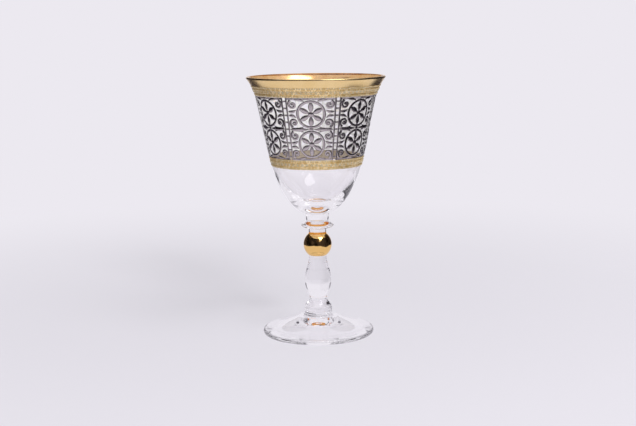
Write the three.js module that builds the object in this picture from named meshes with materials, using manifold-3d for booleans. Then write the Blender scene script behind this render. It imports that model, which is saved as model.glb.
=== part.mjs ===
import * as THREE from "three";
import { mergeVertices } from "three/addons/utils/BufferGeometryUtils.js";
import Module from "manifold-3d";

// Gilded red wine goblet. Millimetres, +Z up, origin on the table under the middle of the foot.
// Seven bits of glass are fused end to end, and the metal is fired on them as thin films.

// Foot
const footRadius = 36.8;
const footEdge = 3; // thickness of the rounded edge
const footHeight = 11.2; // table to the seat of the base knop
const footLedge = 1.8; // ring left clear round the base knop
const footDish = 1; // sag of the slope below a straight cone
const footRestWidth = 3.4; // flat ring that stands on the table
const footHollow = 6.2; // rise of the underside inside that ring

// Base knop
const baseKnopHeight = 11.2;
const baseKnopRadius = 9.1;
const baseKnopBelly = 4.6; // height of its widest place
const baseKnopFlare = 1.3; // spread of its bottom past the widest place
const waistRadius = 5.5; // joint of base knop and baluster

// Baluster
const balusterHeight = 29.9;
const balusterRadius = 8.8;
const balusterBelly = 12.5; // height of its widest place
const knopNeckRadius = 5.8; // joints above and below the ball

// Ball
const ballRadius = 9.2;
const ballStub = 3.5; // clear neck on top of the ball

// Collar and spool
const collarRadius = 10.95;
const collarHeight = 5;
const collarEdgeHeight = 2.3; // height of its sharp edge
const spoolHeight = 5.2;
const spoolRadius = 7.4; // joint of collar and spool
const bowlJointRadius = 8; // joint of spool and bowl

// Bowl
const cupHeight = 32; // clear lower part
const cupRadius = 29.4; // where the decoration starts
const rimRadius = 44.9;
const rimWall = 1.3;
const bowlWall = 1.7; // at the top of the clear part
const bowlFloor = 4.6; // at the bottom, over the spool
const cupRise = THREE.MathUtils.degToRad(15.6); // slope of the bottom where it leaves the spool
const wallLean = THREE.MathUtils.degToRad(15); // from upright, where the decoration starts
const rimLean = THREE.MathUtils.degToRad(39); // from upright, at the lip
const cupBottomPull = 10; // curve handles at the ends of the clear part
const cupTopPull = 12.1;
const wallBottomPull = 25.6; // curve handles at the ends of the decorated wall
const wallTopPull = 13.9;
const floorPull = 15; // curve handle of the inside bottom

// Decoration, from the bottom up
const lowerBandHeight = 6.1;
const filigreeHeight = 39.9;
const upperBandHeight = 6.2;
const rimBandHeight = 5.4;
const filmThickness = 0.2;
const filigreePanels = 7;
const filigreeTurn = THREE.MathUtils.degToRad(-5); // middle of the first panel, from the front
const filigreeStrip = 1.5; // width of the metal between openings
const panelGap = 0.3;
const rosettePetals = 6;
const rosetteEye = 1.4; // radius of the solid middle of a rosette

// Facets round each turned shape
const stemFacets = 24;
const panelFacets = 6;
const bowlFacets = filigreePanels * panelFacets;

const wasm = await Module();
wasm.setup();

const at = (radius, height) => new THREE.Vector2(radius, height);
const toward = (point, angle, length) =>
  at(point.x + Math.sin(angle) * length, point.y + Math.cos(angle) * length);

// Turns an outline of radius and height about +Z. It runs anticlockwise, so its faces point out.
function turned(outline, facets) {
  return new THREE.LatheGeometry(outline, facets).rotateX(Math.PI / 2);
}

function glass(name, geometry) {
  const material = new THREE.MeshStandardMaterial({
    color: 0xe9edf0, roughness: 0.04, metalness: 0, transparent: true, opacity: 0.35,
  });
  const mesh = new THREE.Mesh(geometry, material);
  mesh.name = name;
  return mesh;
}

function metal(name, geometry, color, roughness) {
  const material = new THREE.MeshStandardMaterial({ color, roughness, metalness: 1 });
  const mesh = new THREE.Mesh(geometry, material);
  mesh.name = name;
  return mesh;
}

const polishedGold = 0xdcbb7c;
const reliefGold = 0xcdb074;
const platinum = 0xa59da0;

// Foot: hollow underside, flat resting ring, half-round edge and dished slope
function makeFoot() {
  const baseRadius = baseKnopRadius + baseKnopFlare;
  const seat = at(baseRadius + footLedge, footHeight);
  const edgeRound = footEdge / 2;
  const slopeFoot = at(footRadius - edgeRound, footEdge);
  const restInside = slopeFoot.x - footRestWidth;
  const slopeMiddle = slopeFoot.clone().lerp(seat, 0.5);
  const outline = new THREE.Path();
  outline.moveTo(0, footHollow);
  outline.bezierCurveTo(restInside / 2, footHollow, restInside * 0.65, footHollow * 0.13, restInside, 0);
  outline.lineTo(slopeFoot.x, 0);
  outline.absarc(slopeFoot.x, edgeRound, edgeRound, -Math.PI / 2, Math.PI / 2, false);
  outline.quadraticCurveTo(slopeMiddle.x, slopeMiddle.y - 2 * footDish, seat.x, seat.y);
  outline.lineTo(0, footHeight);
  return glass("foot", turned(outline.getPoints(5), bowlFacets));
}

function makeBaseKnop() {
  const upper = baseKnopHeight - baseKnopBelly;
  const spread = baseKnopRadius - waistRadius;
  const outline = new THREE.Path();
  outline.moveTo(0, 0);
  outline.lineTo(baseKnopRadius + baseKnopFlare, 0);
  outline.bezierCurveTo(
    baseKnopRadius, baseKnopBelly * 0.1,
    baseKnopRadius, baseKnopBelly * 0.5,
    baseKnopRadius, baseKnopBelly);
  outline.bezierCurveTo(
    baseKnopRadius, baseKnopBelly + upper * 0.52,
    waistRadius + spread * 0.42, baseKnopHeight - upper * 0.26,
    waistRadius, baseKnopHeight);
  outline.lineTo(0, baseKnopHeight);
  return glass("base_knop", turned(outline.getPoints(6), stemFacets));
}

function makeBaluster() {
  const upper = balusterHeight - balusterBelly;
  const outline = new THREE.Path();
  outline.moveTo(0, 0);
  outline.lineTo(waistRadius, 0);
  outline.bezierCurveTo(
    waistRadius, balusterBelly * 0.25,
    balusterRadius, balusterBelly * 0.55,
    balusterRadius, balusterBelly);
  outline.bezierCurveTo(
    balusterRadius, balusterBelly + upper * 0.42,
    knopNeckRadius, balusterBelly + upper * 0.6,
    knopNeckRadius, balusterHeight);
  outline.lineTo(0, balusterHeight);
  return glass("baluster_stem", turned(outline.getPoints(7), stemFacets));
}

// Ball with its stub, and the gold film on its round face
const ballRise = Math.sqrt(ballRadius ** 2 - knopNeckRadius ** 2); // middle of the ball to its joints

function makeBall() {
  const tilt = Math.asin(ballRise / ballRadius);
  const round = new THREE.EllipseCurve(0, ballRise, ballRadius, ballRadius, -tilt, tilt).getPoints(10);
  const top = 2 * ballRise + ballStub;
  const outline = [at(0, 0), ...round, at(knopNeckRadius, top), at(0, top)];
  const middle = at(0, ballRise);
  const outside = round.map((point) => point.clone().sub(middle).setLength(ballRadius + filmThickness));
  const skin = outside.map((point) => point.add(middle));
  const film = [...skin, ...round.toReversed(), skin[0]];
  const group = new THREE.Group();
  group.add(glass("ball_knop", turned(outline, stemFacets)));
  group.add(metal("ball_gilding", turned(film, stemFacets), polishedGold, 0.12));
  return group;
}

function makeCollar() {
  const outline = new THREE.Path();
  outline.moveTo(0, 0);
  outline.lineTo(knopNeckRadius, 0);
  const underBend = THREE.MathUtils.lerp(knopNeckRadius, collarRadius, 0.7);
  const overBend = THREE.MathUtils.lerp(spoolRadius, collarRadius, 0.3);
  const overHeight = THREE.MathUtils.lerp(collarEdgeHeight, collarHeight, 0.5);
  outline.quadraticCurveTo(underBend, collarEdgeHeight * 0.15, collarRadius, collarEdgeHeight);
  outline.quadraticCurveTo(overBend, overHeight, spoolRadius, collarHeight);
  outline.lineTo(0, collarHeight);
  return glass("collar_disc", turned(outline.getPoints(5), stemFacets));
}

function makeSpool() {
  const outline = new THREE.Path();
  outline.moveTo(0, 0);
  outline.lineTo(spoolRadius, 0);
  outline.quadraticCurveTo(spoolRadius, spoolHeight / 2, bowlJointRadius, spoolHeight);
  outline.lineTo(0, spoolHeight);
  return glass("bowl_spool", turned(outline.getPoints(4), stemFacets));
}

// Heights above the bottom of the bowl
const filigreeBase = cupHeight + lowerBandHeight;
const upperBandBase = filigreeBase + filigreeHeight;
const rimBandBase = upperBandBase + upperBandHeight;
const bowlHeight = rimBandBase + rimBandHeight;
const lipHeight = bowlHeight - (1 + Math.sin(rimLean)) * rimWall / 2; // where the lip's round starts

// Outside of the bowl: the clear cup, then the decorated wall up to the lip
const cupBottom = at(bowlJointRadius, 0);
const cupTop = at(cupRadius, cupHeight);
const lip = at(rimRadius, lipHeight);
const cupCurve = new THREE.CubicBezierCurve(
  cupBottom, toward(cupBottom, Math.PI / 2 - cupRise, cupBottomPull),
  toward(cupTop, wallLean, -cupTopPull), cupTop);
const wallCurve = new THREE.CubicBezierCurve(
  cupTop, toward(cupTop, wallLean, wallBottomPull), toward(lip, rimLean, -wallTopPull), lip);

// Place along the wall's curve at a height, by halving
function wallPlace(height) {
  let low = 0;
  let high = 1;
  for (let step = 0; step < 40; step++) {
    const middle = (low + high) / 2;
    if (wallCurve.getPoint(middle).y < height) {
      low = middle;
    } else {
      high = middle;
    }
  }
  return (low + high) / 2;
}

function levels(from, to, count) {
  return Array.from({ length: count }, (_, step) => from + ((to - from) * step) / count);
}

// Levels of the decorated wall, with one at every edge of a film
const bands = [
  { name: "lower", heights: levels(cupHeight, filigreeBase, 2) },
  { name: "filigree", heights: levels(filigreeBase, upperBandBase, 3) },
  { name: "upper", heights: levels(upperBandBase, rimBandBase, 2) },
  { name: "rim", heights: levels(rimBandBase, lipHeight, 3) },
];
const places = [...bands.flatMap((band) => band.heights).map(wallPlace), 1];

// The bowl's outline and the stretch of it under each film
const lipSteps = 4;
const cupPoints = cupCurve.getPoints(8).slice(0, -1);
const wallPoints = places.map((place) => wallCurve.getPoint(place));
const insidePoints = places.map((place) => {
  const along = wallCurve.getTangent(place);
  const wall = THREE.MathUtils.lerp(bowlWall, rimWall, place);
  return wallCurve.getPoint(place).add(at(-along.y, along.x).multiplyScalar(wall));
});
const lipMiddle = lip.clone().lerp(insidePoints.at(-1), 0.5);
const lipPoints = Array.from({ length: lipSteps - 1 }, (_, step) =>
  lip.clone().rotateAround(lipMiddle, (Math.PI * (step + 1)) / lipSteps));
const insideTop = insidePoints[0];
const floorCurve = new THREE.CubicBezierCurve(
  insideTop, toward(insideTop, wallLean, -cupTopPull), at(floorPull, bowlFloor), at(0, bowlFloor));
const bowlOutline = [
  at(0, 0), ...cupPoints, ...wallPoints, ...lipPoints,
  ...insidePoints.toReversed(), ...floorCurve.getPoints(9).slice(1),
];

// A film over part of the bowl's outline, raised square to the glass
function filmOutline(first, last) {
  const seat = bowlOutline.slice(first, last + 1);
  const skin = seat.map((point, step) => {
    const along = bowlOutline[first + step + 1].clone().sub(bowlOutline[first + step - 1]).normalize();
    return point.clone().add(at(along.y, -along.x).multiplyScalar(filmThickness));
  });
  return [...skin, ...seat.toReversed(), skin[0]];
}

const bandEnds = {};
let bandStart = 1 + cupPoints.length;
for (const band of bands) {
  bandEnds[band.name] = [bandStart, bandStart + band.heights.length];
  bandStart += band.heights.length;
}
bandEnds.rim[1] += lipSteps; // the rim's gold goes over the lip

// Closed geometry to solid and back
function solid(geometry) {
  geometry.deleteAttribute("normal");
  geometry.deleteAttribute("uv");
  const merged = mergeVertices(geometry);
  const vertProperties = merged.attributes.position.array;
  return new wasm.Manifold(new wasm.Mesh({ numProp: 3, vertProperties, triVerts: merged.index.array }));
}

function surface(body) {
  const mesh = body.getMesh();
  const geometry = new THREE.BufferGeometry();
  geometry.setAttribute("position", new THREE.BufferAttribute(mesh.vertProperties, 3));
  geometry.setIndex(new THREE.BufferAttribute(mesh.triVerts, 1));
  geometry.computeVertexNormals();
  return geometry;
}

// Filigree panels: each has two pierced rosettes in rings, with open corners round the rings
const panelAngle = (2 * Math.PI) / filigreePanels;
const filigreeMiddle = filigreeBase + filigreeHeight / 2;
const wallRadius = (height) => wallCurve.getPoint(wallPlace(height)).x;
const middleRadius = wallRadius(filigreeMiddle);
const openWidth = (middleRadius * panelAngle) / 2 - filigreeStrip; // half width inside the frame
const ringRadius = (filigreeHeight - filigreeStrip) / 4;
const ringHole = ringRadius - filigreeStrip / 2;

// A petal is a kite, pointed at the eye and widest near the ring
function petal(turn) {
  const widest = THREE.MathUtils.lerp(rosetteEye, ringHole, 0.65);
  const halfWide = widest * Math.sin(Math.PI / rosettePetals) - filigreeStrip / 2;
  const outline = [at(rosetteEye, 0), at(widest, -halfWide), at(ringHole, 0), at(widest, halfWide)];
  return outline.map((point) => point.rotateAround(at(0, 0), turn));
}

// A corner lies between a quarter of the ring and the frame
function corner(across, up) {
  const outer = ringRadius + filigreeStrip / 2;
  const start = Math.asin(filigreeStrip / 2 / outer);
  const end = Math.asin(ringHole / outer);
  const arc = new THREE.EllipseCurve(0, 0, outer, outer, end, start, true).getPoints(3);
  const outline = [...arc, at(openWidth, arc.at(-1).y), at(openWidth, arc[0].y)];
  return outline.map((point) => at(point.x * across, point.y * up));
}

// Drives an outline round a ring's middle through the film, square to the front of the bowl
function opening(outline, ringHeight) {
  const places = outline.map((point) => {
    const height = ringHeight + point.y;
    return at(wallRadius(height) * Math.sin(point.x / middleRadius), height);
  });
  const through = { depth: 2 * rimRadius, bevelEnabled: false };
  return solid(new THREE.ExtrudeGeometry(new THREE.Shape(places), through).rotateX(Math.PI / 2));
}

function panelWedge() {
  const tip = at(0, -panelGap / 2 / Math.sin(panelAngle / 2));
  const ends = [-1, 1].map((side) => toward(tip, Math.PI + (side * panelAngle) / 2, 2 * rimRadius));
  const wedge = new THREE.Shape([tip, ...ends]);
  return solid(new THREE.ExtrudeGeometry(wedge, { depth: bowlHeight, bevelEnabled: false }));
}

function makeFiligree() {
  let body = solid(turned(filmOutline(...bandEnds.filigree), bowlFacets)).intersect(panelWedge());
  for (const side of [-1, 1]) {
    const ringHeight = filigreeMiddle + side * ringRadius;
    for (let step = 0; step < rosettePetals; step++) {
      const turn = ((step + 0.5) * 2 * Math.PI) / rosettePetals;
      body = body.subtract(opening(petal(turn), ringHeight));
    }
    for (const across of [-1, 1]) {
      body = body.subtract(opening(corner(across, 1), ringHeight));
      body = body.subtract(opening(corner(across, -1), ringHeight));
    }
  }
  const group = new THREE.Group();
  for (let panel = 0; panel < filigreePanels; panel++) {
    const mesh = metal(`filigree_panel_${panel + 1}`, surface(body), platinum, 0.25);
    mesh.rotation.z = panel * panelAngle;
    group.add(mesh);
  }
  return group;
}

function makeBowl() {
  const group = new THREE.Group();
  const film = (name) => turned(filmOutline(...bandEnds[name]), bowlFacets);
  group.add(glass("bowl", turned(bowlOutline, bowlFacets)));
  group.add(metal("rim_gold_band", film("rim"), polishedGold, 0.15));
  group.add(metal("upper_relief_band", film("upper"), reliefGold, 0.3));
  group.add(metal("lower_relief_band", film("lower"), reliefGold, 0.3));
  group.add(makeFiligree());
  group.rotation.z = filigreeTurn;
  return group;
}

// The bits stand on each other, from the foot up
const goblet = new THREE.Group();
const stack = [
  [makeFoot(), footHeight],
  [makeBaseKnop(), baseKnopHeight],
  [makeBaluster(), balusterHeight],
  [makeBall(), 2 * ballRise + ballStub],
  [makeCollar(), collarHeight],
  [makeSpool(), spoolHeight],
  [makeBowl(), bowlHeight],
];
let level = 0;
for (const [piece, height] of stack) {
  piece.position.z = level;
  goblet.add(piece);
  level += height;
}

export default goblet;
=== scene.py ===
import math

import bpy
import numpy as np
from mathutils import Matrix, Vector


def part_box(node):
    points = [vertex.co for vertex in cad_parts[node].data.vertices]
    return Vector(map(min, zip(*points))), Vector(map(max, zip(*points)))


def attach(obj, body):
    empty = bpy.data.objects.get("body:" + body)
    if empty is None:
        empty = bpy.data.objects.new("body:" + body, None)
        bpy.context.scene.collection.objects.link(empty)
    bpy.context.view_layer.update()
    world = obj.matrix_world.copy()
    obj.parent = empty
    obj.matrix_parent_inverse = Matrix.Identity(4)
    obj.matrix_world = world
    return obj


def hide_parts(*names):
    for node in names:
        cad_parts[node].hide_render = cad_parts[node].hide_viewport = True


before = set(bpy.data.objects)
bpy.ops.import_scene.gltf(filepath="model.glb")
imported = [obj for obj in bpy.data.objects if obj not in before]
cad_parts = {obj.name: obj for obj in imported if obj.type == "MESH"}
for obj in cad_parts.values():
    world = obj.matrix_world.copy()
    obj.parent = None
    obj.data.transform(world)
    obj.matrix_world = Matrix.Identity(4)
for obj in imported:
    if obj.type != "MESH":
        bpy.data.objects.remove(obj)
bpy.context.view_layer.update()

mm = 0.001
metre = 1000  # mm; over a pattern's size in mm, it gives the texture's scale
paleBackground = "#ECE9F0"  # what is seen all round the part
scene = bpy.context.scene


# sRGB hex to the linear values that a shader takes
def linear(hexColour):
    parts = [int(hexColour[place:place + 2], 16) / 255 for place in (1, 3, 5)]
    return [part / 12.92 if part <= 0.04045 else ((part + 0.055) / 1.055) ** 2.4 for part in parts] + [1.0]


# adds a node with its settings and links; "stops" fills a colour ramp
def addNode(tree, kind, settings, links):
    node = tree.nodes.new(kind)
    for key, value in settings.items():
        if key == "stops":
            for place, (spot, colour) in enumerate(value):
                stop = node.color_ramp.elements[place] if place < 2 else node.color_ramp.elements.new(spot)
                stop.position = spot
                stop.color = linear(colour)
        elif isinstance(key, int) or key in node.inputs:
            node.inputs[key].default_value = value
        else:
            setattr(node, key, value)
    for key, socket in links.items():
        tree.links.new(socket, node.inputs[key])
    return node


def startMaterial(name):
    material = bpy.data.materials.new(name)
    material.use_nodes = True
    material.node_tree.nodes.clear()
    return material, material.node_tree


# Crystal glass, blown and fire-polished: colourless and mirror bright, with the faint waves of hot working
def makeCrystal():
    sizes = {"wave": 8.0}
    material, tree = startMaterial("crystalGlass")
    place = addNode(tree, "ShaderNodeTexCoord", {}, {})
    waves = addNode(tree, "ShaderNodeTexNoise", {"Scale": metre / sizes["wave"], "Detail": 1.0},
                    {"Vector": place.outputs["Object"]})
    bump = addNode(tree, "ShaderNodeBump", {"Strength": 0.01, "Distance": mm},
                   {"Height": waves.outputs["Fac"]})
    glass = addNode(tree, "ShaderNodeBsdfPrincipled", {
        "Base Color": linear("#FFFEFF"), "Roughness": 0.0, "IOR": 1.52, "Transmission Weight": 1.0,
    }, {"Normal": bump.outputs["Normal"]})
    addNode(tree, "ShaderNodeOutputMaterial", {}, {"Surface": glass.outputs["BSDF"]})
    return material


# Fused joint between two bits of glass: no surface is left there, so the light goes straight on
def makeFusedJoint():
    material, tree = startMaterial("fusedJoint")
    joint = addNode(tree, "ShaderNodeBsdfPrincipled", {"Base Color": linear("#FFFFFF"), "Alpha": 0.0}, {})
    addNode(tree, "ShaderNodeOutputMaterial", {}, {"Surface": joint.outputs["BSDF"]})
    return material


# Burnished gold film, painted on, fired and rubbed: it mirrors, with faint rubbing lines round the glass.
# Real lines are too fine to show, so they are drawn coarser.
def makeBurnishedGold(name, dark, light, rubbedRough, leftRough):
    sizes = {"line": 0.5, "lineLong": 83.3, "lineRise": 0.2, "cloud": 14.0}
    material, tree = startMaterial(name)
    place = addNode(tree, "ShaderNodeTexCoord", {}, {})
    along = metre / sizes["lineLong"]
    drawn = addNode(tree, "ShaderNodeMapping", {"Scale": (along, along, metre / sizes["line"])},
                    {"Vector": place.outputs["Object"]})
    lines = addNode(tree, "ShaderNodeTexNoise", {"Scale": 1.0, "Detail": 3.0},
                    {"Vector": drawn.outputs["Vector"]})
    clouds = addNode(tree, "ShaderNodeTexNoise", {"Scale": metre / sizes["cloud"], "Detail": 2.0},
                     {"Vector": place.outputs["Object"]})
    colour = addNode(tree, "ShaderNodeValToRGB", {"stops": [(0.3, dark), (0.7, light)]},
                     {"Fac": clouds.outputs["Fac"]})
    rough = addNode(tree, "ShaderNodeMapRange", {"To Min": rubbedRough, "To Max": leftRough},
                    {"Value": lines.outputs["Fac"]})
    bump = addNode(tree, "ShaderNodeBump", {"Strength": 0.02, "Distance": sizes["lineRise"] * mm},
                   {"Height": lines.outputs["Fac"]})
    gold = addNode(tree, "ShaderNodeBsdfPrincipled", {"Metallic": 1.0}, {
        "Base Color": colour.outputs["Color"],
        "Roughness": rough.outputs["Result"],
        "Normal": bump.outputs["Normal"],
    })
    addNode(tree, "ShaderNodeOutputMaterial", {}, {"Surface": gold.outputs["BSDF"]})
    return material


# Relief gold, stamped gold film on an etched ground: a painted highlight, near white, on the raised flowers
# and painted shade, browner, in the recesses.
# The etched grit scatters part of the light, so it is less than fully metallic.
# The real grit and specks are too fine to show, so both are drawn coarser.
def makeReliefGold():
    sizes = {"grain": 0.6, "grainRise": 0.1, "speck": 1.0}
    material, tree = startMaterial("reliefGold")
    place = addNode(tree, "ShaderNodeTexCoord", {}, {})
    rise = addNode(tree, "ShaderNodeAttribute", {"attribute_name": "rise"}, {})
    grain = addNode(tree, "ShaderNodeTexNoise", {"Scale": metre / sizes["grain"], "Detail": 2.0},
                    {"Vector": place.outputs["Object"]})
    specks = addNode(tree, "ShaderNodeTexVoronoi", {"Scale": metre / sizes["speck"]},
                     {"Vector": place.outputs["Object"]})
    tone = addNode(tree, "ShaderNodeMix", {"Factor": 0.5},
                   {2: rise.outputs["Fac"], 3: specks.outputs["Color"]})
    # painted shade low down and painted highlight high up, by how far each point stands up, half mixed with
    # random specks
    colour = addNode(tree, "ShaderNodeValToRGB",
                     {"stops": [(0.1, "#C8A25E"), (0.42, "#F5DDA8"), (0.85, "#FFF9E4")]},
                     {"Fac": tone.outputs[0]})
    rough = addNode(tree, "ShaderNodeMapRange", {"To Min": 0.32, "To Max": 0.2},
                    {"Value": rise.outputs["Fac"]})
    bump = addNode(tree, "ShaderNodeBump", {"Strength": 0.15, "Distance": sizes["grainRise"] * mm},
                   {"Height": grain.outputs["Fac"]})
    gold = addNode(tree, "ShaderNodeBsdfPrincipled", {"Metallic": 0.6}, {
        "Base Color": colour.outputs["Color"],
        "Roughness": rough.outputs["Result"],
        "Normal": bump.outputs["Normal"],
    })
    addNode(tree, "ShaderNodeOutputMaterial", {}, {"Surface": gold.outputs["BSDF"]})
    return material


# Platinum film, fired satin: a grey metal, warm in tone, with painted shade along each stroke's edges,
# darkest where the stroke meets the glass.
# The real grain is too fine to show, so it is drawn coarser.
def makePlatinum():
    sizes = {"grain": 1.1, "grainRise": 0.1}
    material, tree = startMaterial("platinumFilm")
    place = addNode(tree, "ShaderNodeTexCoord", {}, {})
    rise = addNode(tree, "ShaderNodeAttribute", {"attribute_name": "rise"}, {})
    grain = addNode(tree, "ShaderNodeTexNoise", {"Scale": metre / sizes["grain"], "Detail": 3.0},
                    {"Vector": place.outputs["Object"]})
    # painted shade: the colour runs from dark where a stroke meets the glass to light on its crown
    colour = addNode(tree, "ShaderNodeValToRGB",
                     {"stops": [(0.0, "#4A4341"), (0.55, "#A79D9D"), (1.0, "#C2B9BB")]},
                     {"Fac": rise.outputs["Fac"]})
    rough = addNode(tree, "ShaderNodeMapRange", {"To Min": 0.16, "To Max": 0.34},
                    {"Value": grain.outputs["Fac"]})
    bump = addNode(tree, "ShaderNodeBump", {"Strength": 0.1, "Distance": sizes["grainRise"] * mm},
                   {"Height": grain.outputs["Fac"]})
    metal = addNode(tree, "ShaderNodeBsdfPrincipled", {"Metallic": 1.0}, {
        "Base Color": colour.outputs["Color"],
        "Roughness": rough.outputs["Result"],
        "Normal": bump.outputs["Normal"],
    })
    addNode(tree, "ShaderNodeOutputMaterial", {}, {"Surface": metal.outputs["BSDF"]})
    return material


# Gold film from its back, through the glass: redder than the rubbed face, and smooth as the glass under it
def makeGoldBack():
    sizes = {"cloud": 6.0}
    material, tree = startMaterial("goldBack")
    place = addNode(tree, "ShaderNodeTexCoord", {}, {})
    clouds = addNode(tree, "ShaderNodeTexNoise", {"Scale": metre / sizes["cloud"], "Detail": 3.0},
                     {"Vector": place.outputs["Object"]})
    colour = addNode(tree, "ShaderNodeValToRGB", {"stops": [(0.35, "#E8B878"), (0.65, "#F2CA90")]},
                     {"Fac": clouds.outputs["Fac"]})
    rough = addNode(tree, "ShaderNodeMapRange", {"To Min": 0.12, "To Max": 0.18},
                    {"Value": clouds.outputs["Fac"]})
    gold = addNode(tree, "ShaderNodeBsdfPrincipled", {"Metallic": 1.0},
                   {"Base Color": colour.outputs["Color"], "Roughness": rough.outputs["Result"]})
    addNode(tree, "ShaderNodeOutputMaterial", {}, {"Surface": gold.outputs["BSDF"]})
    return material


# Relief paste, the fired ground under a film, seen from inside through the glass: matt, with a sandy grain.
# The real grain is too fine to show, so it is drawn coarser.
def makePaste(name, light, dark):
    sizes = {"grain": 0.9, "grainRise": 0.1}
    material, tree = startMaterial(name)
    place = addNode(tree, "ShaderNodeTexCoord", {}, {})
    grain = addNode(tree, "ShaderNodeTexNoise", {"Scale": metre / sizes["grain"], "Detail": 3.0},
                    {"Vector": place.outputs["Object"]})
    colour = addNode(tree, "ShaderNodeValToRGB", {"stops": [(0.35, dark), (0.65, light)]},
                     {"Fac": grain.outputs["Fac"]})
    bump = addNode(tree, "ShaderNodeBump", {"Strength": 0.2, "Distance": sizes["grainRise"] * mm},
                   {"Height": grain.outputs["Fac"]})
    paste = addNode(tree, "ShaderNodeBsdfPrincipled", {"Roughness": 0.7, "Specular IOR Level": 0.2},
                    {"Base Color": colour.outputs["Color"], "Normal": bump.outputs["Normal"]})
    addNode(tree, "ShaderNodeOutputMaterial", {}, {"Surface": paste.outputs["BSDF"]})
    return material


# 1 for rays that show the background: straight to the camera, mirrored or through glass
def addSeenRays(tree):
    path = addNode(tree, "ShaderNodeLightPath", {}, {})
    mirrored = addNode(tree, "ShaderNodeMath", {"operation": "MAXIMUM"},
                       {0: path.outputs["Is Glossy Ray"], 1: path.outputs["Is Transmission Ray"]})
    seen = addNode(tree, "ShaderNodeMath", {"operation": "MAXIMUM"},
                   {0: path.outputs["Is Camera Ray"], 1: mirrored.outputs["Value"]})
    return seen.outputs["Value"]


# Pale paper sweep: matt and lit by the lamps near the glass, fading to the plain background further off
def makePaper():
    sizes = {"near": 120.0, "far": 600.0, "grain": 1.11, "grainRise": 0.1}
    material, tree = startMaterial("paperSweep")
    place = addNode(tree, "ShaderNodeTexCoord", {}, {})
    away = addNode(tree, "ShaderNodeVectorMath", {"operation": "LENGTH"}, {0: place.outputs["Object"]})
    fade = addNode(tree, "ShaderNodeMapRange", {
        "From Min": sizes["near"] * mm, "From Max": sizes["far"] * mm, "interpolation_type": "SMOOTHSTEP",
    }, {"Value": away.outputs["Value"]})
    seen = addSeenRays(tree)
    share = addNode(tree, "ShaderNodeMath", {"operation": "MULTIPLY"}, {0: fade.outputs["Result"], 1: seen})
    grain = addNode(tree, "ShaderNodeTexNoise", {"Scale": metre / sizes["grain"]},
                    {"Vector": place.outputs["Object"]})
    bump = addNode(tree, "ShaderNodeBump", {"Strength": 0.03, "Distance": sizes["grainRise"] * mm},
                   {"Height": grain.outputs["Fac"]})
    paper = addNode(tree, "ShaderNodeBsdfPrincipled", {
        "Base Color": linear("#E3E0E8"), "Roughness": 0.95, "Specular IOR Level": 0.1,
    }, {"Normal": bump.outputs["Normal"]})
    glow = addNode(tree, "ShaderNodeEmission", {"Color": linear(paleBackground), "Strength": 1.0}, {})
    mixed = addNode(tree, "ShaderNodeMixShader", {}, {
        "Fac": share.outputs["Value"], 1: paper.outputs["BSDF"], 2: glow.outputs["Emission"],
    })
    addNode(tree, "ShaderNodeOutputMaterial", {}, {"Surface": mixed.outputs["Shader"]})
    return material


# Studio cloth: matt and dim, uneven as hung cloth is
def makeCloth(name, dark, light):
    sizes = {"fold": 333.3}
    material, tree = startMaterial(name)
    place = addNode(tree, "ShaderNodeTexCoord", {}, {})
    folds = addNode(tree, "ShaderNodeTexNoise", {"Scale": metre / sizes["fold"], "Detail": 2.0},
                    {"Vector": place.outputs["Object"]})
    colour = addNode(tree, "ShaderNodeValToRGB", {"stops": [(0.4, dark), (0.62, light)]},
                     {"Fac": folds.outputs["Fac"]})
    cloth = addNode(tree, "ShaderNodeBsdfPrincipled", {"Roughness": 1.0, "Specular IOR Level": 0.0},
                    {"Base Color": colour.outputs["Color"]})
    addNode(tree, "ShaderNodeOutputMaterial", {}, {"Surface": cloth.outputs["BSDF"]})
    return material


# Camera, at the photograph's viewing angle; the light crosses many walls of glass on its way there
cameraSizes = {
    "place": (0.00048, -0.75165, 0.20342), "tilt": 80.683, "roll": -0.66, "lens": 65.38, "sensor": 36.0,
    "bounces": 96, "jointBounces": 32,
}
bpy.ops.object.select_all(action="DESELECT")
bpy.ops.object.camera_add(location=cameraSizes["place"])
camera = bpy.context.object
tilt = Matrix.Rotation(math.radians(cameraSizes["tilt"]), 3, "X")
roll = Matrix.Rotation(math.radians(cameraSizes["roll"]), 3, "Z")
camera.rotation_euler = (tilt @ roll).to_euler()
camera.data.lens = cameraSizes["lens"]
camera.data.sensor_width = cameraSizes["sensor"]
camera.data.sensor_fit = "HORIZONTAL"
scene.camera = camera
scene.view_settings.view_transform = "Standard"
scene.cycles.max_bounces = cameraSizes["bounces"]
scene.cycles.transmission_bounces = cameraSizes["bounces"]
scene.cycles.glossy_bounces = cameraSizes["bounces"]
scene.cycles.transparent_max_bounces = cameraSizes["jointBounces"]
scene.cycles.caustics_reflective = False
scene.cycles.caustics_refractive = False
print("camera set")

# Studio light, in metres and watts: pale surroundings, a soft lamp above the front right,
# and a low one for the shadow
lampSizes = {
    "highPlace": (0.96, -1.04, 2.0), "highSide": 1.2, "highPower": 15.0,
    "lowPlace": (1.18, -2.32, 1.58), "lowSide": 0.7, "lowPower": 26.8,
    "aim": (0.0, 0.0, 0.08), "ambient": 0.68,
}
world = bpy.data.worlds.new("studio")
scene.world = world
world.use_nodes = True
world.node_tree.nodes.clear()
pale = addNode(world.node_tree, "ShaderNodeBackground",
               {"Color": linear(paleBackground), "Strength": 1.0}, {})
ambient = addNode(world.node_tree, "ShaderNodeBackground",
                  {"Color": linear("#FFFFFF"), "Strength": lampSizes["ambient"]}, {})
around = addNode(world.node_tree, "ShaderNodeMixShader", {}, {
    "Fac": addSeenRays(world.node_tree), 1: ambient.outputs["Background"], 2: pale.outputs["Background"],
})
addNode(world.node_tree, "ShaderNodeOutputWorld", {}, {"Surface": around.outputs["Shader"]})


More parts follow.
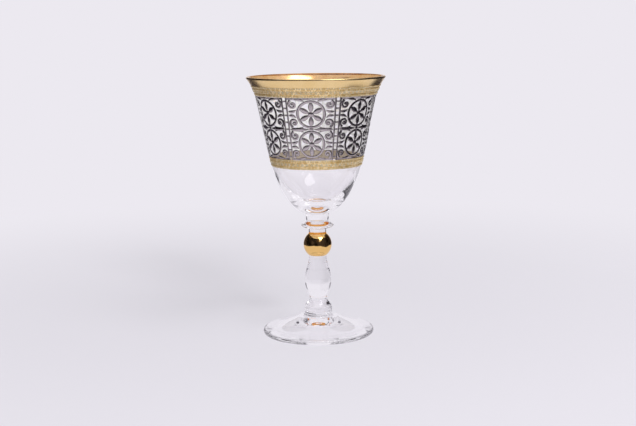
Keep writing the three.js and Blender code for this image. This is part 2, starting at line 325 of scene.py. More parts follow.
def hangLamp(name, place, side, power):
    bpy.ops.object.select_all(action="DESELECT")
    aim = Vector(lampSizes["aim"]) - Vector(place)
    bpy.ops.object.light_add(type="AREA", location=place, rotation=aim.to_track_quat("-Z", "Y").to_euler())
    lamp = bpy.context.object
    lamp.name = name
    lamp.data.energy = power
    lamp.data.size = side
    lamp.visible_camera = False
    return lamp


hangLamp("highLamp", lampSizes["highPlace"], lampSizes["highSide"], lampSizes["highPower"])
lowLamp = hangLamp("lowLamp", lampSizes["lowPlace"], lampSizes["lowSide"], lampSizes["lowPower"])
lowLamp.visible_glossy = False
lowLamp.visible_transmission = False

# Paper floor, in metres, a hair below the foot
floorSizes = {"radius": 40.0, "corners": 96, "drop": 0.3 * mm}
bpy.ops.object.select_all(action="DESELECT")
bpy.ops.mesh.primitive_circle_add(vertices=floorSizes["corners"], radius=floorSizes["radius"],
                                  fill_type="NGON", location=(0, 0, -floorSizes["drop"]))
floor = bpy.context.object
floor.name = "paperFloor"
floor.data.materials.append(makePaper())

# Studio cloths, in metres, for the metal to mirror and the glass to show along its edges; the ring under the
# foot's edge among them is a painted contact shadow.
# Pairs of angles are in degrees from the back towards the right, and lists of points are paths on the floor.
clothSizes = {
    "corners": 24, "roomRadius": 3.0, "roomLow": 0.88, "roomHigh": 4.0, "cardHigh": 0.26,
    "room": (185, 260),
    "front": [(-0.45, -0.06), (-0.45, -0.4), (-0.05, -0.4)],
    "mirroredRoom": {"clothBack": (15, 80), "clothMiddle": (165, 185), "clothLeft": (260, 345)},
    "mirroredCards": {
        "clothCardLeft": [(-0.14, 0.3), (-0.27, 0.15), (-0.27, -0.39)],
        "clothCardFront": [(-0.05, -0.4), (0.3, -0.4)],
        "clothCardRight": [(0.14, 0.3), (0.3, 0.1), (0.16, -0.06), (0.16, -0.39)],
    },
    "fence": (0, 360), "fenceRadius": 0.042, "fenceHigh": 0.003,
    # painted contact shadow: a dark ring on the floor under the foot's rounded edge, seen only through the
    # glass
    "ring": (75, 285), "shadowRingNear": 0.0353, "shadowRingFar": 0.0385, "shadowRingLow": -0.2 * mm, "shadowRingHigh": -0.1 * mm,
    "flag": (52, 102), "flagRadius": 0.16, "flagLow": 0.03, "flagHigh": 0.087,
}


# hangs cloth along a path on the floor, seen only in reflections and through glass;
# a covered one is closed at the top
def hangCloth(name, path, low, high, material, covered=False):
    bpy.ops.object.select_all(action="DESELECT")
    bpy.ops.mesh.primitive_plane_add(size=mm)
    cloth = bpy.context.object
    cloth.name = name
    bpy.ops.object.mode_set(mode="EDIT")
    bpy.ops.mesh.select_all(action="SELECT")
    bpy.ops.mesh.merge(type="CENTER")
    bpy.ops.transform.translate(value=(path[0][0], path[0][1], low))
    for before, after in zip(path, path[1:]):
        step = (after[0] - before[0], after[1] - before[1], 0)
        bpy.ops.mesh.extrude_vertices_move(TRANSFORM_OT_translate={"value": step})
    bpy.ops.mesh.select_all(action="SELECT")
    bpy.ops.mesh.extrude_edges_move(TRANSFORM_OT_translate={"value": (0, 0, high - low)})
    if covered:
        bpy.ops.mesh.edge_face_add()
    bpy.ops.object.mode_set(mode="OBJECT")
    cloth.visible_camera = False
    cloth.visible_diffuse = False
    cloth.visible_shadow = False
    cloth.data.materials.append(material)
    return cloth


# part of a circle round the glass, from one angle to another
def roundPath(turns, radius):
    start, end = turns
    corners = clothSizes["corners"]
    angles = [math.radians(start + (end - start) * step / corners) for step in range(corners + 1)]
    return [(radius * math.sin(angle), radius * math.cos(angle)) for angle in angles]


blackCloth = makeCloth("blackCloth", "#1A1510", "#7A6448")
greyCloth = makeCloth("greyCloth", "#5C5962", "#7A7780")
slateCloth = makeCloth("slateCloth", "#18171C", "#4A4752")
room = clothSizes["roomRadius"]
low = clothSizes["roomLow"]
high = clothSizes["roomHigh"]
cardHigh = clothSizes["cardHigh"]
hangCloth("clothRoom", roundPath(clothSizes["room"], room), low, high, slateCloth)
hangCloth("clothFront", clothSizes["front"], 0.0, cardHigh, slateCloth)
mirroredCloths = []
for name, turns in clothSizes["mirroredRoom"].items():
    mirroredCloths.append(hangCloth(name, roundPath(turns, room), low, high, blackCloth))
for name, path in clothSizes["mirroredCards"].items():
    mirroredCloths.append(hangCloth(name, path, 0.0, cardHigh, slateCloth))
for cloth in mirroredCloths:  # these show in the metal and in the glass's gloss
    cloth.visible_transmission = False
fence = roundPath(clothSizes["fence"], clothSizes["fenceRadius"])
shadowRingNear = roundPath(clothSizes["ring"], clothSizes["shadowRingNear"])
shadowRingFar = roundPath(clothSizes["ring"][::-1], clothSizes["shadowRingFar"])
outlineCloths = [
    hangCloth("clothFence", fence, 0.0, clothSizes["fenceHigh"], slateCloth),
    # painted contact shadow under the foot's edge
    hangCloth("shadowRingUnderFoot", shadowRingNear + shadowRingFar, clothSizes["shadowRingLow"], clothSizes["shadowRingHigh"],
              slateCloth, True),
]
for name, side in (("clothFlagRight", 1), ("clothFlagLeft", -1)):
    path = roundPath([side * angle for angle in clothSizes["flag"]], clothSizes["flagRadius"])
    outlineCloths.append(hangCloth(name, path, clothSizes["flagLow"], clothSizes["flagHigh"], greyCloth))
for cloth in outlineCloths:  # these show through the glass alone, as the dark lines along its edges; the ring, under the foot's rounded edge, is a painted contact shadow
    cloth.visible_glossy = False
print("studio set")

crystal = makeCrystal()
fusedJoint = makeFusedJoint()
# the same burnished gold in two tones that stand in for the different light on each part: painted lighter on
# the rim, painted more orange on the ball
rimGold = makeBurnishedGold("rimGold", "#F8D593", "#FFE2A8", 0.2, 0.3)
ballGold = makeBurnishedGold("ballGold", "#F6C778", "#FFD58A", 0.06, 0.16)
reliefGold = makeReliefGold()
platinum = makePlatinum()
goldBack = makeGoldBack()
greyPaste = makePaste("greyPaste", "#F3F2F0", "#E4E3E1")
brownPaste = makePaste("brownPaste", "#B7A78F", "#9C8B70")
print("materials made")


# points along a curve of radius and height, its start left out
def curve(handles, steps):
    placed = []
    for step in range(1, steps + 1):
        row = [Vector(handle) for handle in handles]
        while len(row) > 1:
            row = [first.lerp(second, step / steps) for first, second in zip(row, row[1:])]
        placed.append(row[0])
    return placed


# the same line moved square to itself, outwards where the line runs upwards
def raised(line, gap):
    moved = []
    for place, point in enumerate(line):
        along = (line[min(place + 1, len(line) - 1)] - line[max(place - 1, 0)]).normalized()
        moved.append(point + Vector((along.y, -along.x)) * gap)
    return moved


# a thin closed film on a line, sunk a little into the glass so that no air is left under it
def film(line, thickness, sunk=0.03):
    skin = raised(line, thickness)
    return skin + raised(line, -sunk)[::-1] + skin[:1]


# an outline in mm is drawn point by point and spun round the stem's axis
def turn(name, outline, level, facets, sharpFrom=40):
    bpy.ops.object.select_all(action="DESELECT")
    bpy.ops.mesh.primitive_plane_add(size=mm)
    piece = bpy.context.object
    piece.name = name
    bpy.ops.object.mode_set(mode="EDIT")
    bpy.ops.mesh.select_all(action="SELECT")
    bpy.ops.mesh.merge(type="CENTER")
    bpy.ops.transform.translate(value=(outline[0].x * mm, 0, level + outline[0].y * mm))
    for before, after in zip(outline, outline[1:]):
        step = (after - before) * mm
        bpy.ops.mesh.extrude_vertices_move(TRANSFORM_OT_translate={"value": (step.x, 0, step.y)})
    bpy.ops.mesh.select_all(action="SELECT")
    bpy.ops.mesh.spin(steps=facets, angle=2 * math.pi, center=(0, 0, 0), axis=(0, 0, 1))
    bpy.ops.mesh.select_all(action="SELECT")
    bpy.ops.mesh.remove_doubles(threshold=0.002 * mm)  # closes the seam and the poles
    bpy.ops.mesh.normals_make_consistent(inside=False)
    bpy.ops.object.mode_set(mode="OBJECT")
    bpy.ops.object.shade_smooth_by_angle(angle=math.radians(sharpFrom))
    return piece


def settle(piece, node):
    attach(piece, "root")
    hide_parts(node)


# gives a glass piece its material and its fused faces, each a level and a radius
def finishGlass(piece, node, joints):
    levelSlack = 0.01 * mm
    radiusSlack = 0.05
    piece.data.materials.append(crystal)
    piece.data.materials.append(fusedJoint)
    for face in piece.data.polygons:
        reach = max(math.hypot(*piece.data.vertices[corner].co.xy) for corner in face.vertices)
        for level, radius in joints:
            if abs(face.center.z - level) < levelSlack and reach < (radius + radiusSlack) * mm:
                face.material_index = 1
    piece.visible_shadow = False  # clear glass lets the lamp's light through
    piece.visible_diffuse = False
    settle(piece, node)


def levelOf(node):
    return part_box(node)[0].z


# Foot: hollow underside, flat resting ring, half-round edge and dished slope.
# Here and below, sizes are in mm, and a pull is the share of a stretch that shapes its curve.
footSizes = {
    "radius": 36.8, "edge": 3.0, "height": 11.2, "seat": 12.2, "joint": 10.4, "dish": 1.0, "rest": 3.4,
    "hollow": 6.2, "hollowTopPull": 0.5, "hollowFootPull": 0.65, "hollowFootRise": 0.13,
    "hollowSteps": 40, "edgeSteps": 12, "slopeSteps": 20, "facets": 256,
}
edgeRound = footSizes["edge"] / 2
slopeFoot = Vector((footSizes["radius"] - edgeRound, footSizes["edge"]))
restInside = slopeFoot.x - footSizes["rest"]
seat = Vector((footSizes["seat"], footSizes["height"]))
slopeMiddle = slopeFoot.lerp(seat, 0.5) - Vector((0, 2 * footSizes["dish"]))
hollowTop = (0, footSizes["hollow"])
hollowFoot = (restInside * footSizes["hollowFootPull"], footSizes["hollow"] * footSizes["hollowFootRise"])
outline = [Vector(hollowTop)]
outline += curve([hollowTop, (restInside * footSizes["hollowTopPull"], footSizes["hollow"]), hollowFoot,
                  (restInside, 0)], footSizes["hollowSteps"])
outline.append(Vector((slopeFoot.x, 0)))
for step in range(1, footSizes["edgeSteps"] + 1):
    angle = math.pi * (step / footSizes["edgeSteps"] - 0.5)
    outline.append(Vector((slopeFoot.x + edgeRound * math.cos(angle), edgeRound * (1 + math.sin(angle)))))
outline += curve([slopeFoot, slopeMiddle, seat], footSizes["slopeSteps"])
outline += [Vector((footSizes["joint"], footSizes["height"])), Vector((0, footSizes["height"]))]
foot = turn("crystalFoot", outline, 0, footSizes["facets"])
finishGlass(foot, "foot", [(footSizes["height"] * mm, footSizes["joint"])])
print("foot turned")

# Base knop: a small dome with a flared bottom
knopSizes = {
    "height": 11.2, "radius": 9.1, "belly": 4.6, "bottom": 10.4, "waist": 5.5,
    "flarePull": 0.1, "bellyPull": 0.5, "domePull": 0.52, "waistSpread": 0.42, "waistPull": 0.26,
    "flareSteps": 28, "domeSteps": 40, "facets": 224,
}
level = levelOf("base_knop")
bellyAt = knopSizes["belly"]
widest = knopSizes["radius"]
upper = knopSizes["height"] - bellyAt
waistOut = (widest - knopSizes["waist"]) * knopSizes["waistSpread"]
outline = [Vector((0, 0)), Vector((knopSizes["bottom"], 0))]
outline += curve([(knopSizes["bottom"], 0), (widest, bellyAt * knopSizes["flarePull"]),
                  (widest, bellyAt * knopSizes["bellyPull"]), (widest, bellyAt)], knopSizes["flareSteps"])
outline += curve([(widest, bellyAt), (widest, bellyAt + upper * knopSizes["domePull"]),
                  (knopSizes["waist"] + waistOut, knopSizes["height"] - upper * knopSizes["waistPull"]),
                  (knopSizes["waist"], knopSizes["height"])], knopSizes["domeSteps"])
outline.append(Vector((0, knopSizes["height"])))
baseKnop = turn("crystalBaseKnop", outline, level, knopSizes["facets"])
finishGlass(baseKnop, "base_knop", [(level, knopSizes["bottom"]),
                                    (level + knopSizes["height"] * mm, knopSizes["waist"])])

# Baluster: widest low down, narrowing to the ball
balusterSizes = {
    "height": 29.9, "radius": 8.8, "belly": 12.5, "waist": 5.5, "neck": 5.8,
    "waistPull": 0.25, "underPull": 0.55, "overPull": 0.42, "neckPull": 0.6,
    "lowerSteps": 40, "upperSteps": 56, "facets": 224,
}
level = levelOf("baluster_stem")
bellyAt = balusterSizes["belly"]
widest = balusterSizes["radius"]
upper = balusterSizes["height"] - bellyAt
outline = [Vector((0, 0)), Vector((balusterSizes["waist"], 0))]
outline += curve([(balusterSizes["waist"], 0), (balusterSizes["waist"], bellyAt * balusterSizes["waistPull"]),
                  (widest, bellyAt * balusterSizes["underPull"]), (widest, bellyAt)],
                 balusterSizes["lowerSteps"])
outline += curve([(widest, bellyAt), (widest, bellyAt + upper * balusterSizes["overPull"]),
                  (balusterSizes["neck"], bellyAt + upper * balusterSizes["neckPull"]),
                  (balusterSizes["neck"], balusterSizes["height"])], balusterSizes["upperSteps"])
outline.append(Vector((0, balusterSizes["height"])))
baluster = turn("crystalBaluster", outline, level, balusterSizes["facets"])
finishGlass(baluster, "baluster_stem", [(level, balusterSizes["waist"]),
                                        (level + balusterSizes["height"] * mm, balusterSizes["neck"])])

# Ball knop with a clear stub, and the gold film over its round face
ballSizes = {"radius": 9.2, "neck": 5.8, "stub": 3.5, "film": 0.14, "steps": 32, "facets": 224}
level = levelOf("ball_knop")
ballRise = math.sqrt(ballSizes["radius"] ** 2 - ballSizes["neck"] ** 2)
ballTilt = math.asin(ballRise / ballSizes["radius"])
ballTop = 2 * ballRise + ballSizes["stub"]
roundFace = []
for step in range(ballSizes["steps"] + 1):
    angle = ballTilt * (2 * step / ballSizes["steps"] - 1)
    roundFace.append(Vector((ballSizes["radius"] * math.cos(angle),
                             ballRise + ballSizes["radius"] * math.sin(angle))))
outline = [Vector((0, 0))] + roundFace + [Vector((ballSizes["neck"], ballTop)), Vector((0, ballTop))]
ball = turn("crystalBall", outline, level, ballSizes["facets"])
finishGlass(ball, "ball_knop", [(level, ballSizes["neck"]), (level + ballTop * mm, ballSizes["neck"])])
gilding = turn("goldBall", film(roundFace, ballSizes["film"]), level, ballSizes["facets"])
gilding.data.materials.append(ballGold)
settle(gilding, "ball_gilding")

# Collar: a disc with a sharp edge
collarSizes = {
    "radius": 10.95, "height": 5.0, "edge": 2.3, "edgeFlat": 0.3, "neck": 5.8, "spool": 7.4,
    "underPull": 0.7, "underRise": 0.15, "overPull": 0.3, "steps": 14, "facets": 224, "sharpFrom": 60,
}
level = levelOf("collar_disc")
underReach = collarSizes["radius"] - collarSizes["neck"]
overReach = collarSizes["radius"] - collarSizes["spool"]
underBend = (collarSizes["neck"] + collarSizes["underPull"] * underReach,
             collarSizes["edge"] * collarSizes["underRise"])
overBend = (collarSizes["spool"] + collarSizes["overPull"] * overReach,
            (collarSizes["edge"] + collarSizes["height"]) / 2)
underEdge = (collarSizes["radius"], collarSizes["edge"] - collarSizes["edgeFlat"] / 2)
overEdge = (collarSizes["radius"], collarSizes["edge"] + collarSizes["edgeFlat"] / 2)
outline = [Vector((0, 0)), Vector((collarSizes["neck"], 0))]
outline += curve([(collarSizes["neck"], 0), underBend, underEdge], collarSizes["steps"])
outline.append(Vector(overEdge))
outline += curve([overEdge, overBend, (collarSizes["spool"], collarSizes["height"])], collarSizes["steps"])
outline.append(Vector((0, collarSizes["height"])))
collar = turn("crystalCollar", outline, level, collarSizes["facets"], collarSizes["sharpFrom"])
finishGlass(collar, "collar_disc", [(level, collarSizes["neck"]),
                                    (level + collarSizes["height"] * mm, collarSizes["spool"])])

# Spool between collar and bowl
spoolSizes = {"height": 5.2, "bottom": 7.4, "top": 8.0, "steps": 10, "facets": 224}
level = levelOf("bowl_spool")
outline = [Vector((0, 0)), Vector((spoolSizes["bottom"], 0))]
outline += curve([(spoolSizes["bottom"], 0), (spoolSizes["bottom"], spoolSizes["height"] / 2),
                  (spoolSizes["top"], spoolSizes["height"])], spoolSizes["steps"])
outline.append(Vector((0, spoolSizes["height"])))
spool = turn("crystalSpool", outline, level, spoolSizes["facets"])
finishGlass(spool, "bowl_spool", [(level, spoolSizes["bottom"]),
                                  (level + spoolSizes["height"] * mm, spoolSizes["top"])])
print("stem turned")

# Bowl: thick rounded bottom, leaning wall and flared lip; heights from its bottom, and its pulls in mm
bowlSizes = {
    "joint": 8.0, "cupHeight": 32.0, "cupRadius": 29.4, "rimRadius": 44.9, "rimWall": 1.3, "wall": 1.7,
    "floor": 4.6, "cupRise": 15.6, "wallLean": 15.0, "rimLean": 39.0,
    "cupBottomPull": 10.0, "cupTopPull": 12.1, "wallBottomPull": 25.6, "wallTopPull": 13.9, "floorPull": 15.0,
    "lowerBand": 6.1, "filigree": 39.9, "upperBand": 6.2, "rimBand": 5.4,
    "cupSteps": 36, "wallSteps": 60, "lipSteps": 8, "floorSteps": 40, "facets": 196,
}
bowlLevel = levelOf("bowl")
filigreeBase = bowlSizes["cupHeight"] + bowlSizes["lowerBand"]
filigreeMiddle = filigreeBase + bowlSizes["filigree"] / 2
upperBandBase = filigreeBase + bowlSizes["filigree"]
rimBandBase = upperBandBase + bowlSizes["upperBand"]
bowlHeight = rimBandBase + bowlSizes["rimBand"]
rimLean = math.radians(bowlSizes["rimLean"])
wallLean = math.radians(bowlSizes["wallLean"])
cupRise = math.radians(bowlSizes["cupRise"])
cupBottom = Vector((bowlSizes["joint"], 0))
cupTop = Vector((bowlSizes["cupRadius"], bowlSizes["cupHeight"]))
lip = Vector((bowlSizes["rimRadius"], bowlHeight - (1 + math.sin(rimLean)) * bowlSizes["rimWall"] / 2))
cupWay = Vector((math.cos(cupRise), math.sin(cupRise)))
wallWay = Vector((math.sin(wallLean), math.cos(wallLean)))
rimWay = Vector((math.sin(rimLean), math.cos(rimLean)))
cupLine = [cupBottom] + curve([
    cupBottom, cupBottom + cupWay * bowlSizes["cupBottomPull"],
    cupTop - wallWay * bowlSizes["cupTopPull"], cupTop], bowlSizes["cupSteps"])
wallLine = [cupTop] + curve([
    cupTop, cupTop + wallWay * bowlSizes["wallBottomPull"],
    lip - rimWay * bowlSizes["wallTopPull"], lip], bowlSizes["wallSteps"])
inLine = []
for place, (outer, way) in enumerate(zip(wallLine, raised(wallLine, 1))):
    thinned = (bowlSizes["rimWall"] - bowlSizes["wall"]) * place / bowlSizes["wallSteps"]
    inLine.append(outer - (way - outer) * (bowlSizes["wall"] + thinned))
lipMiddle = lip.lerp(inLine[-1], 0.5)
lipLine = []
for step in range(1, bowlSizes["lipSteps"]):
    spun = lip - lipMiddle
    spun.rotate(Matrix.Rotation(math.pi * step / bowlSizes["lipSteps"], 2))
    lipLine.append(lipMiddle + spun)
floorLine = curve([inLine[0], inLine[0] - wallWay * bowlSizes["cupTopPull"],
                   (bowlSizes["floorPull"], bowlSizes["floor"]), (0, bowlSizes["floor"])],
                  bowlSizes["floorSteps"])
outline = [Vector((0, 0))] + cupLine + wallLine[1:] + lipLine + inLine[::-1] + floorLine
bowl = turn("crystalBowl", outline, bowlLevel, bowlSizes["facets"])
finishGlass(bowl, "bowl", [(bowlLevel, bowlSizes["joint"])])
print("bowl turned")

# The wall as heights, radii and outward directions, for all that is laid on it
wallHeights = np.array([point.y for point in wallLine])
wallRadii = np.array([point.x for point in wallLine])
wallOut = np.array([way - point for point, way in zip(wallLine, raised(wallLine, 1))])
middleRadius = np.interp(filigreeMiddle, wallHeights, wallRadii)


def wallStretch(low, high, steps):
    heights = np.linspace(low, high, steps + 1)
    return [Vector((np.interp(height, wallHeights, wallRadii), height)) for height in heights]


# lays flat work (x along the wall, y up, z off the glass) on the bowl
def layOnBowl(piece, base, turned, perMetre):
    flat = np.empty(len(piece.data.vertices) * 3)
    piece.data.vertices.foreach_get("co", flat)
    across, up, out = flat.reshape(-1, 3).T
    height = base + up / mm
    outwards = out * np.interp(height, wallHeights, wallOut[:, 0])
    upwards = out * np.interp(height, wallHeights, wallOut[:, 1])
    radius = np.interp(height, wallHeights, wallRadii) * mm + outwards
    level = bowlLevel + height * mm + upwards
    angle = turned + across * perMetre
    laid = np.stack([radius * np.sin(angle), -radius * np.cos(angle), level], axis=1)
    piece.data.vertices.foreach_set("co", laid.ravel())
    piece.data.update()


# keeps how far each point stands up, from 0 to 1, for the metal's colour: painted shade low down, and on the
# relief gold a painted highlight on top
def keepRise(piece, full):
    flat = np.empty(len(piece.data.vertices) * 3)
    piece.data.vertices.foreach_get("co", flat)
    rise = piece.data.attributes.new("rise", "FLOAT", "POINT")
    rise.data.foreach_set("value", np.clip(flat[2::3] / (full * mm), 0, 1))


# faces that lie in the glass, towards the inside of the bowl, show what is under the metal
def showUnderside(piece, under):
    piece.data.materials.append(under)
    for face in piece.data.polygons:
        outward = face.center.x * face.normal.x + face.center.y * face.normal.y
        if outward < 0:
            face.material_index = 1


# Plain gold rim, over the lip
rimSizes = {"film": 0.12, "steps": 12}
rimLine = wallStretch(rimBandBase, lip.y, rimSizes["steps"])[:-1] + [lip] + lipLine + [inLine[-1]]
rim = turn("goldRim", film(rimLine, rimSizes["film"]), bowlLevel, bowlSizes["facets"])
rim.data.materials.append(rimGold)
showUnderside(rim, goldBack)
settle(rim, "rim_gold_band")

# Relief bands: a stamped row of small flowers between bead edges, on a thin gold ground
reliefSizes = {
    "pitch": 3.14, "upperCount": 84, "lowerCount": 62, "ground": 0.05, "groundSteps": 8, "height": 0.3,
    "petals": 5, "petalTurn": 0.25, "petalReach": 0.82, "petal": (0.52, 0.36), "boss": 0.4, "bossRise": 1.3,
    "leaf": (0.5, 0.24), "leafPlace": 0.72, "leafTurn": 1.0, "beads": 2, "bead": 0.48, "edge": 0.62,
    "grainSides": 8, "grainRings": 4,
}


# one raised grain: a low ball, drawn out and turned
def addGrain(place, half, turned, height):
    spot = (place[0] * mm, place[1] * mm, 0)
    bpy.ops.mesh.primitive_uv_sphere_add(segments=reliefSizes["grainSides"],
                                         ring_count=reliefSizes["grainRings"], radius=mm, location=spot)
    bpy.ops.transform.resize(value=(half[0], half[1], height), center_override=spot)
    bpy.ops.transform.rotate(value=-turned, orient_axis="Z", center_override=spot)


def makeReliefBand(name, base, height, count):
    sizes = reliefSizes
    bpy.ops.object.select_all(action="DESELECT")
    bpy.ops.mesh.primitive_plane_add(size=mm)
    flowers = bpy.context.object
    bpy.ops.object.mode_set(mode="EDIT")
    bpy.ops.mesh.select_all(action="SELECT")
    bpy.ops.mesh.delete(type="VERT")
    middle = height / 2
    for step in range(sizes["petals"]):
        angle = 2 * math.pi * (step + sizes["petalTurn"]) / sizes["petals"]
        place = (sizes["petalReach"] * math.cos(angle), middle + sizes["petalReach"] * math.sin(angle))
        addGrain(place, sizes["petal"], angle, sizes["height"])
    addGrain((0, middle), (sizes["boss"], sizes["boss"]), 0, sizes["height"] * sizes["bossRise"])
    for up in (-1, 1):
        leafSpot = (sizes["pitch"] / 2, middle + up * sizes["leafPlace"])
        addGrain(leafSpot, sizes["leaf"], up * sizes["leafTurn"], sizes["height"])
        edge = middle + up * (middle - sizes["edge"])
        for step in range(sizes["beads"]):
            across = sizes["pitch"] * ((step + 0.5) / sizes["beads"] - 0.5)
            addGrain((across, edge), (sizes["bead"], sizes["bead"]), 0, sizes["height"])
    bpy.ops.object.mode_set(mode="OBJECT")
    bpy.ops.object.modifier_add(type="ARRAY")
    row = flowers.modifiers[-1]
    row.count = count
    row.use_relative_offset = False
    row.use_constant_offset = True
    row.constant_offset_displace = (sizes["pitch"] * mm, 0, 0)
    bpy.ops.object.modifier_apply(modifier=row.name)
    keepRise(flowers, sizes["height"])
    for point in flowers.data.vertices:
        point.co.z += sizes["ground"] * mm
    layOnBowl(flowers, base, 0, 2 * math.pi / (count * sizes["pitch"] * mm))
    bpy.ops.object.shade_smooth()
    ground = film(wallStretch(base, base + height, sizes["groundSteps"]), sizes["ground"])
    band = turn(name, ground, bowlLevel, bowlSizes["facets"])
    flowers.select_set(True)
    bpy.ops.object.join()
    band.data.materials.append(reliefGold)
    showUnderside(band, brownPaste)
    return band


upperBand = makeReliefBand("goldUpperBand", upperBandBase, bowlSizes["upperBand"], reliefSizes["upperCount"])
settle(upperBand, "upper_relief_band")
lowerBand = makeReliefBand("goldLowerBand", bowlSizes["cupHeight"], bowlSizes["lowerBand"],
                           reliefSizes["lowerCount"])
settle(lowerBand, "lower_relief_band")
print("gold bands laid")

# Filigree: scrollwork drawn flat as strokes (mm from the panel's middle), then laid on the bowl.
# A stroke is a row of points, each with its half width; a quarter is drawn and flipped to the other three.
filigreeSizes = {
    "panels": 7, "turn": -5.0, "flat": 0.16, "full": 0.08, "heart": 1.25,
    "post": 14.25, "postHigh": 19.9, "postHalf": 0.55, "border": 19.2, "borderHalf": 0.62,
    "rungs": 9, "rungPitch": 4.4, "rungStart": 0.25, "rungEnd": 2.75, "rungHalf": 0.5,
    "ringPlace": 9.5, "ring": 8.1, "ringHalf": 0.82, "ringSteps": 48, "boss": 1.75,
    "petals": 6, "petalStart": 0.8, "petalEnd": 7.9, "petalHalf": 1.55, "petalBelly": 1.15,
    "sideLeaf": ((13.9, 0), (0.9, 0), 1.2, 0, 0.8),  # start, end, half width, bow, belly
    "leaves": [
        ((13.0, 1.1), (4.4, 2.0), 0.8, 0.14, 0.9),  # under the scroll by the middle
        ((13.9, 8.6), (8.9, 7.2), 0.95, -0.14, 0.8),  # two beside the ring
        ((13.9, 11.4), (8.7, 12.4), 0.95, 0.14, 0.8),
        ((9.4, 18.6), (3.4, 17.4), 0.85, -0.1, 0.8),  # along the border
    ],
    "volutes": [
        (10.6, 4.2, 3.05, 0.9, -70, 1.2, 0.9),  # by the middle: place, radii, start, turns, half width
        (10.7, 15.6, 2.85, 0.85, 70, -1.2, 0.88),  # in the corner
    ],
    "eyes": [(10.6, 4.2, 0.95), (10.7, 15.6, 0.9)],  # beads in the volutes
}
strokeSizes = {
    "beadSteps": 6, "beadTip": 0.02, "leafSteps": 10, "leafTip": 0.04, "leafFull": 0.8,
    "voluteSteps": 25, "voluteTaper": 0.45, "bevel": 2,
}


def bead(x, y, radius):
    steps = strokeSizes["beadSteps"]
    points = []
    for step in range(steps + 1):
        angle = math.pi * step / steps
        half = max(radius * math.sin(angle), strokeSizes["beadTip"])
        points.append((x - radius * math.cos(angle), y, half))
    return {"points": points, "closed": False}


def bar(start, end, half):
    return {"points": [(*start, half), (*end, half)], "closed": False}


def ring(x, y, radius, half, steps):
    angles = [2 * math.pi * step / steps for step in range(steps)]
    points = [(x + radius * math.cos(angle), y + radius * math.sin(angle), half) for angle in angles]
    return {"points": points, "closed": True}


# a pointed leaf from start to end, bowed sideways, fuller towards its end with a larger belly
def leaf(start, end, half, bow, belly):
    run = (end[0] - start[0], end[1] - start[1])
    points = []
    for step in range(strokeSizes["leafSteps"] + 1):
        along = step / strokeSizes["leafSteps"]
        swing = bow * math.sin(math.pi * along)
        swell = max(math.sin(math.pi * along ** belly), 0) ** strokeSizes["leafFull"]
        x = start[0] + run[0] * along - run[1] * swing
        y = start[1] + run[1] * along + run[0] * swing
        points.append((x, y, max(half * swell, strokeSizes["leafTip"])))
    return {"points": points, "closed": False}


def volute(x, y, outer, inner, start, turns, half):
    points = []
    for step in range(strokeSizes["voluteSteps"] + 1):
        along = step / strokeSizes["voluteSteps"]
        reach = outer * (inner / outer) ** along
        angle = math.radians(start) + 2 * math.pi * turns * along
        width = half * (1 - strokeSizes["voluteTaper"] * along)
        points.append((x + reach * math.cos(angle), y + reach * math.sin(angle), width))
    return {"points": points, "closed": False}


def flip(stroke, across, up):
    points = [(x * across, y * up, half) for x, y, half in stroke["points"]]
    return {"points": points, "closed": stroke["closed"]}


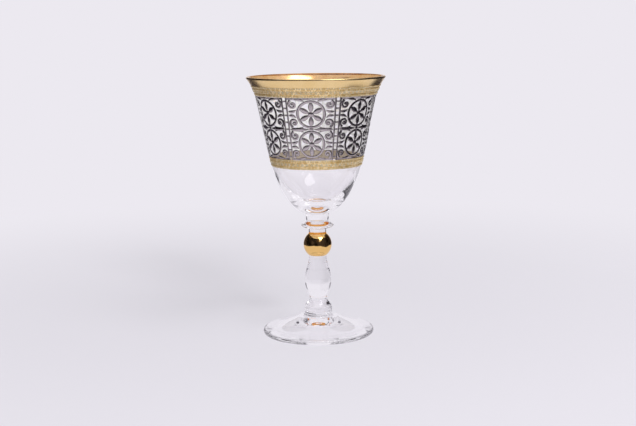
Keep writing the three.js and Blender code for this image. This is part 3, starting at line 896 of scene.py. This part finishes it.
def drawPanel():
    sizes = filigreeSizes
    post = sizes["post"]
    border = sizes["border"]
    strokes = [bead(0, 0, sizes["heart"])]
    for step in range(sizes["rungs"]):  # ladder to the next panel
        height = sizes["rungPitch"] * (step - (sizes["rungs"] - 1) / 2)
        rungStart = (post + sizes["rungStart"], height)
        strokes.append(bar(rungStart, (post + sizes["rungEnd"], height), sizes["rungHalf"]))
    for up in (-1, 1):  # a ring with a flower above the middle and one below
        middle = up * sizes["ringPlace"]
        strokes.append(ring(0, middle, sizes["ring"], sizes["ringHalf"], sizes["ringSteps"]))
        strokes.append(bead(0, middle, sizes["boss"]))
        for step in range(sizes["petals"]):
            angle = 2 * math.pi * (step + 0.5) / sizes["petals"]
            way = Vector((math.cos(angle), math.sin(angle)))
            start = Vector((0, middle)) + way * sizes["petalStart"]
            end = Vector((0, middle)) + way * sizes["petalEnd"]
            strokes.append(leaf(start, end, sizes["petalHalf"], 0, sizes["petalBelly"]))
    side = [bar((post, -sizes["postHigh"]), (post, sizes["postHigh"]), sizes["postHalf"]),
            leaf(*sizes["sideLeaf"])]
    quarter = [bar((0, border), (post, border), sizes["borderHalf"])]
    quarter += [volute(*scroll) for scroll in sizes["volutes"]]
    quarter += [bead(*eye) for eye in sizes["eyes"]]
    quarter += [leaf(*blade) for blade in sizes["leaves"]]
    for across in (-1, 1):
        strokes += [flip(stroke, across, 1) for stroke in side]
        for up in (-1, 1):
            strokes += [flip(stroke, across, up) for stroke in quarter]
    return strokes


def makePanel():
    sizes = filigreeSizes
    drawing = bpy.data.curves.new("filigreeDrawing", "CURVE")
    drawing.dimensions = "3D"
    drawing.bevel_depth = mm
    drawing.bevel_resolution = strokeSizes["bevel"]
    drawing.use_fill_caps = True
    for stroke in drawPanel():
        line = drawing.splines.new("POLY")
        line.points.add(len(stroke["points"]) - 1)
        line.use_cyclic_u = stroke["closed"]
        for point, (x, y, half) in zip(line.points, stroke["points"]):
            point.co = (x * mm, y * mm, 0, 1)
            point.radius = half
    panel = bpy.data.objects.new("platinumPanel", drawing)
    scene.collection.objects.link(panel)
    bpy.ops.object.select_all(action="DESELECT")
    bpy.context.view_layer.objects.active = panel
    panel.select_set(True)
    bpy.ops.object.convert(target="MESH")
    bpy.ops.object.mode_set(mode="EDIT")
    bpy.ops.mesh.select_all(action="SELECT")
    bpy.ops.transform.resize(value=(1, 1, sizes["flat"]), center_override=(0, 0, 0))
    bpy.ops.mesh.normals_make_consistent(inside=False)
    bpy.ops.object.mode_set(mode="OBJECT")
    keepRise(panel, sizes["full"])
    layOnBowl(panel, filigreeMiddle, math.radians(sizes["turn"]), 1 / (middleRadius * mm))
    bpy.ops.object.shade_smooth()
    panel.data.materials.append(platinum)
    showUnderside(panel, greyPaste)
    return panel


panel = makePanel()
for number in range(filigreeSizes["panels"]):
    bpy.ops.object.select_all(action="DESELECT")
    bpy.context.view_layer.objects.active = panel
    panel.select_set(True)
    if number:
        bpy.ops.object.duplicate()
        panel = bpy.context.object
        panel.rotation_euler.z = 2 * math.pi / filigreeSizes["panels"]
        bpy.ops.object.transform_apply(location=False, rotation=True, scale=False)
    panel.name = "platinumPanel" + str(number + 1)
    settle(panel, "filigree_panel_" + str(number + 1))
print("filigree laid")
